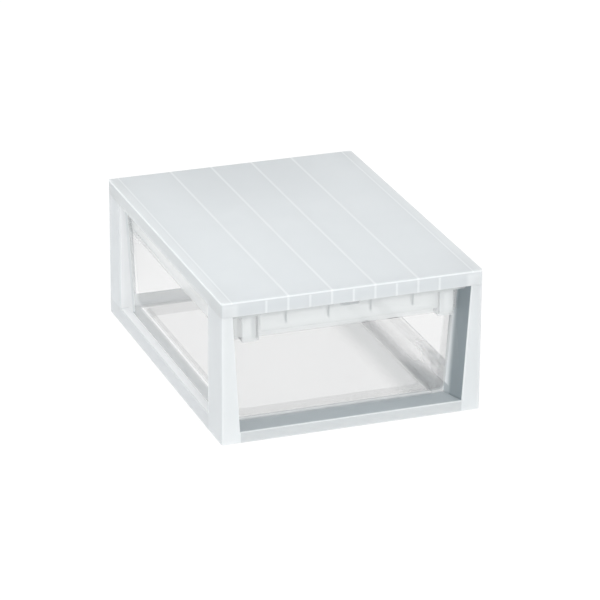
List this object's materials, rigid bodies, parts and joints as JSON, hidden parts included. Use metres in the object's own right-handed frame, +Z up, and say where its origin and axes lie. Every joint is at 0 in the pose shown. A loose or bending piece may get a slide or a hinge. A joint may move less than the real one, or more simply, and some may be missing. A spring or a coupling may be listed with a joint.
{
  "type": "stackable drawer box",
  "caption": "Stackable drawer box: a translucent open-sided casing with a flat cover, and a clear drafted drawer with a front grip that slides out.",
  "frame": {"origin": "centre of the footprint, on the surface the box stands on", "axes": "+X to the right as seen from the front, +Y to the back, +Z up; the drawer opens towards -Y"},
  "size_m": [0.296, 0.4, 0.162],
  "materials": {
    "frosted": "satin translucent moulding",
    "cover": "satin translucent moulding",
    "clear": "clear glossy moulding",
    "grip": "clear glossy moulding"
  },
  "bodies": {
    "casing": {"casing_frame": "frosted", "top_cover": "cover"},
    "drawer": {"drawer_tub": "clear", "front_grip": "grip", "grip_end_left": "grip", "grip_end_right": "grip"}
  },
  "joints": [
    {"name": "drawer_slide", "type": "slide", "parent": "casing", "child": "drawer", "axis": [0, -1, 0], "range_m": [0, 0.28]}
  ]
}
